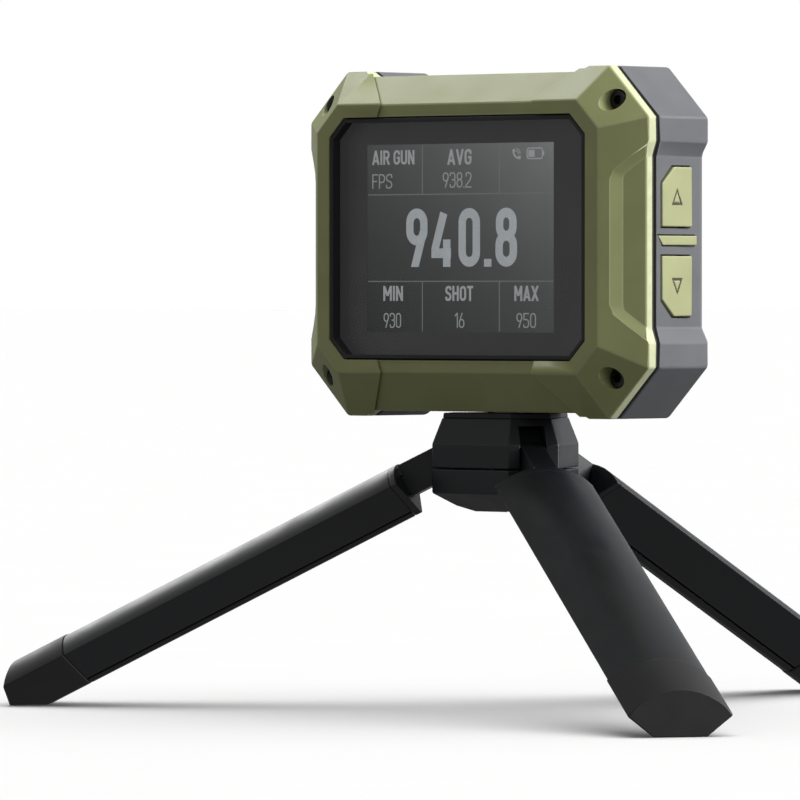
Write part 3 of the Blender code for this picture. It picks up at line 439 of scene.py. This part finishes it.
# Stroke letters in a unit box: "line" and "loop" run through corners, a ~ rounds the corner,
# and "bar" is a slanted stroke cut level at both ends.
GLYPHS = {
    "0": (0.49, ["loop 0,0~ 1,0~ 1,1~ 0,1~"]),
    "1": (0.30, ["line 1,0 1,1", "bar 0,.8 .9,1"]),
    "2": (0.49, ["line 0,.74 0,1~ 1,1~ 1,.58~ 0,.12 0,0 1,0"]),
    "3": (0.49, ["line 0,.78 0,1~ 1,1~ 1,.52~ .35,.52", "line .35,.52 1,.52~ 1,0~ 0,0~ 0,.22"]),
    "4": (0.53, ["line .55,1 0,.27 0,.18 1,.18", "line .74,0 .74,.46"]),
    "5": (0.49, ["line .95,1 .05,1 .03,.57 1,.57~ 1,0~ 0,0~ 0,.22"]),
    "6": (0.49, ["loop 0,0~ 1,0~ 1,.56~ 0,.56~", "bar .02,.36 .6,1"]),
    "8": (0.49, ["loop .03,.53~ .97,.53~ .97,1~ .03,1~", "loop 0,0~ 1,0~ 1,.53~ 0,.53~"]),
    "9": (0.49, ["loop 0,.44~ 1,.44~ 1,1~ 0,1~", "bar .98,.64 .4,0"]),
    ".": (0.00, ["line .5,0 .5,.06"]),
    " ": (0.12, []),
    "A": (0.56, ["bar 0,0 .5,1", "bar 1,0 .5,1", "line .2,.22 .8,.22"]),
    "F": (0.44, ["line 1,1 0,1 0,0", "line 0,.5 .85,.5"]),
    "G": (0.50, ["line 1,.72 1,1~ 0,1~ 0,0~ 1,0~ 1,.47 .55,.47"]),
    "H": (0.50, ["line 0,0 0,1", "line 1,0 1,1", "line 0,.5 1,.5"]),
    "I": (0.00, ["line .5,0 .5,1"]),
    "M": (0.62, ["line 0,0 0,1", "line 1,0 1,1", "bar .02,1 .5,.3", "bar .98,1 .5,.3"]),
    "N": (0.50, ["line 0,0 0,1", "line 1,0 1,1", "bar 0,1 1,0"]),
    "O": (0.50, ["loop 0,0~ 1,0~ 1,1~ 0,1~"]),
    "P": (0.47, ["line 0,0 0,1 1,1~ 1,.42~ 0,.42"]),
    "R": (0.50, ["line 0,0 0,1 1,1~ 1,.46~ 0,.46", "bar .55,.46 1,0"]),
    "S": (0.48, ["line 1,.76 1,1~ 0,1~ 0,.53~ 1,.47~ 1,0~ 0,0~ 0,.24"]),
    "T": (0.46, ["line 0,1 1,1", "line .5,0 .5,1"]),
    "U": (0.50, ["line 0,1 0,0~ 1,0~ 1,1"]),
    "V": (0.54, ["bar 0,1 .5,0", "bar 1,1 .5,0"]),
    "X": (0.54, ["bar 0,0 1,1", "bar 0,1 1,0"]),
}


def draw_glyph(shape, sign, left, width, bottom, height, stroke, y):
    """Adds one stroke letter; its strokes keep inside the given box."""
    faces = []
    inner_width, inner_height = max(width - stroke, 0.0), height - stroke
    for line in GLYPHS[sign][1]:
        kind, *corners = line.split()
        path = []
        for corner in corners:
            u, v = (float(n) for n in corner.rstrip("~").split(","))
            path.append((left + stroke / 2 + u * inner_width, bottom + stroke / 2 + v * inner_height,
                         corner.endswith("~")))
        if kind == "bar":
            faces.append(level_bar(shape, path, stroke, bottom, height, y))
        else:
            if kind == "line":
                path = square_ends(path, stroke, bottom, height)
            closed = kind == "loop"
            faces += ribbon(shape, rounded(path, closed, CORNER_REACH * width), stroke, closed, y)
    return faces


def square_ends(path, stroke, bottom, height):
    """Lets a stroke that ends near the letter's top or bottom run out square to the letter's box."""
    path = list(path)
    for i, j in ((0, 1), (-1, -2)):
        x, z, soft = path[i]
        if abs(path[j][0] - x) < SAME:
            if abs(z - bottom - stroke / 2) < SAME:
                z = bottom
            elif abs(z - bottom - height + stroke / 2) < SAME:
                z = bottom + height
        elif abs(path[j][1] - z) < SAME and abs(z - bottom - height / 2) > height * OUTER_BAND:
            x += stroke / 2 if x > path[j][0] else -stroke / 2
        path[i] = (x, z, soft)
    return path


def level_bar(shape, path, stroke, bottom, height, y):
    """A slanted stroke whose ends are level with the letter's top and bottom."""
    (x0, z0, _), (x1, z1, _) = path
    slope = (x1 - x0) / (z1 - z0)
    half = stroke / 2 * hypot(1.0, slope)
    ends = []
    for x, z in ((x0, z0), (x1, z1)):
        level = bottom if abs(z - bottom - stroke / 2) < SAME else z
        level = bottom + height if abs(z - bottom - height + stroke / 2) < SAME else level
        ends.append((x + slope * (level - z) * 0.5, level))
    (xa, za), (xb, zb) = ends
    corners = [corner_at(shape, x, y, z)
               for x, z in ((xa - half, za), (xa + half, za), (xb + half, zb), (xb - half, zb))]
    return shape.faces.new(corners)


def write(name, text, left, right, bottom, top, weight, material):
    """Sets a line of lettering in the display so that it fills left..right."""
    height = top - bottom
    stroke = weight * height
    gap = LETTER_GAP * height
    widths = [max(GLYPHS[sign][0] * height, stroke) for sign in text]
    natural = sum(widths) + gap * (len(text) - 1)
    stretch = (right - left - gap * (len(text) - 1)) / (natural - gap * (len(text) - 1))
    shape = bmesh.new()
    faces, x = [], left
    for sign, width in zip(text, widths):
        faces += draw_glyph(shape, sign, x, width * stretch, bottom, height, stroke, INK_Y)
        x += width * stretch + gap
    prism(shape, faces, (0.0, INK_DEPTH, 0.0))
    add_piece(name, shape, material, "unit")


def build_ground():
    """The lit ground that the readings stand on."""
    ground = bmesh.new()
    face = rectangle(ground, ACTIVE_LEFT, ACTIVE_BOTTOM, ACTIVE_RIGHT, ACTIVE_TOP,
                     LCD_FRONT_Y - GROUND_DEPTH)
    prism(ground, [face], (0.0, GROUND_DEPTH, 0.0))
    add_piece("lcd_ground", ground, FINISH["lcd_glass"], "unit")


MASK_INSET, MASK_CUT = 0.4, 6.0       # the mask's distance from the glass's edge, and its cut corners
MASK_GAP, MASK_DEPTH = 0.06, 0.08     # its distance behind the glass, and its thickness


def build_mask():
    """A dark mask behind the glass, with the lit area left open; its faint glow is a painted reflection of
    the glass.
    """
    mask = bmesh.new()
    x0, x1 = glass_low.x / MM + MASK_INSET, glass_high.x / MM - MASK_INSET
    z0, z1 = glass_low.z / MM + MASK_INSET, glass_high.z / MM - MASK_INSET
    outline = [(x0 + MASK_CUT, z0), (x1 - MASK_CUT, z0), (x1, z0 + MASK_CUT), (x1, z1 - MASK_CUT),
               (x1 - MASK_CUT, z1), (x0 + MASK_CUT, z1), (x0, z1 - MASK_CUT), (x0, z0 + MASK_CUT)]
    hole = [(ACTIVE_LEFT, ACTIVE_BOTTOM), (ACTIVE_RIGHT, ACTIVE_BOTTOM),
            (ACTIVE_RIGHT, ACTIVE_TOP), (ACTIVE_LEFT, ACTIVE_TOP)]
    outer = [corner_at(mask, x, GLASS_BACK_Y + MASK_GAP, z) for x, z in outline]
    inner = [corner_at(mask, x, GLASS_BACK_Y + MASK_GAP, z) for x, z in hole]
    faces = []
    for i in range(4):
        a, b = inner[i], inner[(i + 1) % 4]
        c, d = outer[2 * i], outer[2 * i + 1]
        faces.append(mask.faces.new((a, b, d, c)))
        faces.append(mask.faces.new((b, outer[(2 * i + 2) % 8], d)))
    prism(mask, faces, (0.0, MASK_DEPTH, 0.0))
    add_piece("window_mask", mask, MASK_PAINTED_REFLECTION, "unit")


BOLD, LIGHT = 0.165, 0.085            # stroke width as a share of the letters' height
READINGS = (
    # name, text, left, right, bottom and top from the display's middle, stroke, ink
    ("text_mode", "AIR GUN", -27.95, -15.6, 15.97, 19.08, BOLD, LABEL_INK),
    ("text_unit", "FPS", -27.95, -22.1, 10.8, 13.95, 0.09, THIN_INK),
    ("text_average", "AVG", -5.95, 1.0, 15.75, 19.08, BOLD, LABEL_INK),
    ("value_average", "938.2", -7.3, 1.0, 10.8, 14.15, LIGHT, THIN_INK),
    ("value_speed", "940.8", -17.95, 14.1, -6.2, 6.43, BOLD, DIGIT_INK),
    ("text_least", "MIN", -24.7, -18.95, -13.55, -10.3, BOLD, LABEL_INK),
    ("value_least", "930", -24.6, -19.5, -19.4, -16.15, LIGHT, THIN_INK),
    ("text_count", "SHOT", -6.55, 1.45, -13.55, -10.3, BOLD, LABEL_INK),
    ("value_count", "16", -3.9, -1.05, -19.35, -16.1, LIGHT, THIN_INK),
    ("text_most", "MAX", 13.35, 20.2, -13.55, -10.3, BOLD, LABEL_INK),
    ("value_most", "950", 13.95, 19.5, -19.3, -16.1, LIGHT, THIN_INK),
)
RULE_HALF = 0.13                      # half the width of the display's dividing lines
RULE_MARGIN = 0.2                     # from the lines' ends to the edge of the lit area
RULE_Y = INK_Y + 0.01                 # a little behind the letters
UPPER_RULE, LOWER_RULE = 9.46, -9.32  # heights from the display's middle
RULES_ACROSS = (-13.25, 9.05)         # places of the upright lines


def build_rules():
    """The lines that divide the display into fields."""
    rules = bmesh.new()
    faces = []
    upper, lower = LCD_MIDDLE_Z + UPPER_RULE, LCD_MIDDLE_Z + LOWER_RULE
    left, right = ACTIVE_LEFT + RULE_MARGIN, ACTIVE_RIGHT - RULE_MARGIN
    bottom, top = ACTIVE_BOTTOM + RULE_MARGIN, ACTIVE_TOP - RULE_MARGIN
    for level in (upper, lower):
        faces.append(rectangle(rules, left, level - RULE_HALF, right, level + RULE_HALF, RULE_Y))
    for x in RULES_ACROSS:
        faces.append(rectangle(rules, x - RULE_HALF, upper + RULE_HALF, x + RULE_HALF, top, RULE_Y))
        faces.append(rectangle(rules, x - RULE_HALF, bottom, x + RULE_HALF, lower - RULE_HALF, RULE_Y))
    prism(rules, faces, (0.0, INK_DEPTH - 0.01, 0.0))
    add_piece("display_rules", rules, RULE_INK, "unit")


SIGNS_Z = LCD_MIDDLE_Z + 17.95        # height of the signs in the display's upper right corner


def build_battery_sign():
    """A battery outline with a charge bar and a terminal."""
    sign = bmesh.new()
    left, right, half = 16.95, 21.35, 1.12
    low, high = SIGNS_Z - half, SIGNS_Z + half
    line, corner_radius, inset, terminal_half = 0.26, 0.6, 0.38, 0.45
    box = [(left, low, True), (right, low, True), (right, high, True), (left, high, True)]
    faces = ribbon(sign, rounded(box, True, corner_radius), line, True, INK_Y)
    faces.append(rectangle(sign, left + 0.4, low + inset, left + 2.15, high - inset, INK_Y))
    faces.append(rectangle(sign, right + 0.2, SIGNS_Z - terminal_half, right + 0.48,
                           SIGNS_Z + terminal_half, INK_Y))
    prism(sign, faces, (0.0, INK_DEPTH, 0.0))
    add_piece("battery_sign", sign, LABEL_INK, "unit")


def arc(middle, radius, start, end, step):
    """Points on a circle, at whole degrees."""
    return [middle + radius * Vector((cos(radians(a)), sin(radians(a)))) for a in range(start, end, step)]


def build_link_sign():
    """A handset with two waves."""
    sign = bmesh.new()
    grip_line, ear_line, wave_line = 0.42, 0.66, 0.2
    grip = arc(Vector((14.75, SIGNS_Z + 0.75)), 1.75, 186, 271, 12)
    faces = ribbon(sign, grip, grip_line, False, INK_Y)
    for end, turn in ((grip[0], 200.0), (grip[-1], 256.0)):
        out = Vector((cos(radians(turn + 180.0)), sin(radians(turn + 180.0))))
        faces += ribbon(sign, [end - 0.16 * out, end + 0.52 * out], ear_line, False, INK_Y)
    for radius in (0.75, 1.25):
        wave = arc(Vector((13.75, SIGNS_Z - 0.15)), radius, 5, 86, 10)
        faces += ribbon(sign, wave, wave_line, False, INK_Y)
    prism(sign, faces, (0.0, INK_DEPTH, 0.0))
    add_piece("link_sign", sign, LABEL_INK, "unit")


build_ground()
build_mask()
for name, text, left, right, bottom, top, stroke, ink in READINGS:
    write(name, text, left, right, LCD_MIDDLE_Z + bottom, LCD_MIDDLE_Z + top, stroke, ink)
build_rules()
build_battery_sign()
build_link_sign()


# ---------------------------------------------------------------- key marks
MARK_CORNERS = ((0.0, 1.95), (-1.85, -1.8), (1.85, -1.8))   # triangle, from the key's middle
MARK_RINGS = ((0.95, -0.02), (0.66, -0.10))   # scale and shift of its outer and inner outline
MARK_SUNK, MARK_DEPTH = 0.12, 0.16    # the fill's depth below the key's face, and its thickness


def build_key_mark(name, node, body, pointing):
    """A dark fill in the triangular groove of a key; `pointing` is 1 for up and -1 for down."""
    low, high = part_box(node)
    middle_y, middle_z = (low.y + high.y) / 2 / MM, (low.z + high.z) / 2 / MM
    face_x = high.x / MM
    shape = bmesh.new()
    rings = [[corner_at(shape, face_x - MARK_SUNK, middle_y + scale * y,
                        middle_z + pointing * (scale * z + shift)) for y, z in MARK_CORNERS]
             for scale, shift in MARK_RINGS]
    faces = []
    for i in range(3):
        j = (i + 1) % 3
        faces.append(shape.faces.new((rings[0][i], rings[0][j], rings[1][j], rings[1][i])))
    prism(shape, faces, (-MARK_DEPTH, 0.0, 0.0))
    add_piece(name, shape, KEY_MARK_DARK_FILL, body)


build_key_mark("up_mark", "up_button", "up_key", 1)
build_key_mark("down_mark", "down_button", "down_key", -1)


# ---------------------------------------------------------------- studio
# The camera was fitted to the corners of the head and the feet in the photo.
CAMERA_AZIMUTH = radians(41.7)
CAMERA_DISTANCE = 1.70217
CAMERA_HEIGHT = 0.09012
CAMERA_YAW = radians(0.8)
CAMERA_PITCH = radians(-0.777)
LENS = 354.35
ROOM_LEVEL, GROUND_LEVEL = 0.40, 0.21   # brightness of the room round the white sweep
HORIZON = (-0.08, -0.01)                # the ground turns into the room between these heights
SWEEP_EDGE = (0.94, 0.99)               # the room turns into the sweep between these cosines
FLOOR_RADIUS = 40.0
FLOOR_LIGHT = 2.58
hub_low, hub_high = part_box("hub_screw")
AXIS_X, AXIS_Y = (hub_low.x + hub_high.x) / 2, (hub_low.y + hub_high.y) / 2


def area_light(name, place, aim, size, power):
    """A rectangular lamp, aimed at a point and unseen by the camera."""
    light = bpy.data.lights.new(name, "AREA")
    light.shape = "RECTANGLE"
    light.size, light.size_y = size
    light.energy = power
    lamp = bpy.data.objects.new(name, light)
    bpy.context.scene.collection.objects.link(lamp)
    lamp.location = place
    lamp.visible_camera = False
    lamp.rotation_euler = (Vector(aim) - Vector(place)).to_track_quat("-Z", "Y").to_euler()
    return lamp


def build_floor():
    """The pale floor, which neither lights the object nor shows in it."""
    shape = bmesh.new()
    bmesh.ops.create_circle(shape, cap_ends=True, radius=FLOOR_RADIUS, segments=96)
    mesh = bpy.data.meshes.new("floor")
    shape.to_mesh(mesh)
    shape.free()
    floor = bpy.data.objects.new("floor", mesh)
    bpy.context.scene.collection.objects.link(floor)
    material, tree, shader, place = new_material("studio_floor")
    tree.links.new(spread(tree, noise(tree, place, 400.0), 0.80, 0.90), shader.inputs["Roughness"])
    pale = add_node(tree, "ShaderNodeMix", {
        "Factor": noise(tree, place, 60.0, 3.0), "A": (0.82, 0.82, 0.815, 1.0),
        "B": (0.84, 0.84, 0.84, 1.0)}, data_type="RGBA")
    tree.links.new(pale.outputs["Result"], shader.inputs["Base Color"])
    shader.inputs["Specular IOR Level"].default_value = 0.0
    mesh.materials.append(material)
    floor.visible_diffuse = False
    floor.visible_glossy = False
    return floor


def build_world():
    """A white sweep behind the object, in a dim room with a dark ground."""
    world = bpy.data.worlds.new("studio")
    bpy.context.scene.world = world
    world.use_nodes = True
    tree = world.node_tree
    background = tree.nodes["Background"]
    direction = add_node(tree, "ShaderNodeTexCoord").outputs["Generated"]
    away = (-sin(CAMERA_AZIMUTH), cos(CAMERA_AZIMUTH), 0.0)
    facing = add_node(tree, "ShaderNodeVectorMath", {0: direction, 1: away}, operation="DOT_PRODUCT")
    sweep = add_node(tree, "ShaderNodeMapRange", {
        "Value": facing.outputs["Value"], "From Min": SWEEP_EDGE[0], "From Max": SWEEP_EDGE[1],
        "To Min": 0.0, "To Max": 1.0}, interpolation_type="SMOOTHSTEP")
    height = add_node(tree, "ShaderNodeSeparateXYZ", {"Vector": direction}).outputs["Z"]
    room = add_node(tree, "ShaderNodeMapRange", {
        "Value": height, "From Min": HORIZON[0], "From Max": HORIZON[1], "To Min": GROUND_LEVEL,
        "To Max": ROOM_LEVEL}, interpolation_type="SMOOTHSTEP")
    level = add_node(tree, "ShaderNodeMix", {
        "Factor": sweep.outputs["Result"], "A": room.outputs["Result"], "B": 1.0}, data_type="FLOAT")
    tree.links.new(level.outputs["Result"], background.inputs["Strength"])
    background.inputs["Color"].default_value = (1.0, 1.0, 1.0, 1.0)


def build_camera():
    """The photo's camera, placed round the tripod's axis."""
    data = bpy.data.cameras.new("camera")
    data.lens = LENS
    data.sensor_width = 36.0
    data.clip_start, data.clip_end = 0.05, 100.0
    camera = bpy.data.objects.new("camera", data)
    bpy.context.scene.collection.objects.link(camera)
    camera.location = (AXIS_X + CAMERA_DISTANCE * sin(CAMERA_AZIMUTH),
                       AXIS_Y - CAMERA_DISTANCE * cos(CAMERA_AZIMUTH), CAMERA_HEIGHT)
    camera.rotation_euler = (pi / 2 + CAMERA_PITCH, 0.0, CAMERA_AZIMUTH + CAMERA_YAW)
    bpy.context.scene.camera = camera


def build_floor_light():
    """A wide sun from almost straight above, for the floor's soft contact shadow."""
    light = bpy.data.lights.new("floor_light", "SUN")
    light.energy, light.angle = FLOOR_LIGHT, radians(80.0)
    lamp = bpy.data.objects.new("floor_light", light)
    bpy.context.scene.collection.objects.link(lamp)
    lamp.rotation_euler = (radians(-12.0), radians(8.0), 0.0)
    return lamp


def link_only(lamp, name, items):
    """Lets a lamp light only the given objects."""
    receivers = bpy.data.collections.new(name)
    for item in items:
        receivers.objects.link(item)
    lamp.light_linking.receiver_collection = receivers


floor = build_floor()
build_world()
build_camera()
HEAD = (0.0, AXIS_Y, 0.1)
TRIPOD_BODIES = ("hub", "left_leg", "right_leg", "rear_leg")
pieces = [item for item in bpy.context.scene.objects if item.type == "MESH" and item is not floor]
tripod_nodes = {node for node, body in BODY_OF.items() if body in TRIPOD_BODIES}
tripod = [item for item in pieces if item.name.removesuffix("_skin") in tripod_nodes]
head = [item for item in pieces if item not in tripod]
LAMPS = (
    # name, place, size, power in watts, what it lights
    ("left_softbox", (-0.85, -0.05, 1.20), (0.7, 1.0), 15.5, head),
    ("top_softbox", (0.10, 0.25, 1.50), (1.1, 1.1), 5.0, head),
    ("right_softbox", (1.10, 0.65, 0.80), (0.8, 1.0), 30.0, head),
    ("right_fill", (1.50, 0.05, 0.25), (0.7, 0.9), 4.0, head),
    ("tripod_left_light", (-1.25, 0.72, 0.80), (0.7, 1.0), 7.0, tripod),
    ("tripod_right_light", (1.05, 0.90, 0.62), (0.7, 1.0), 44.0, tripod),
)
for name, place, size, power, lit in LAMPS:
    link_only(area_light(name, place, HEAD, size, power), f"{name}_receivers", lit)
link_only(build_floor_light(), "floor_light_receivers", [floor])
bpy.context.scene.view_settings.view_transform = "Standard"
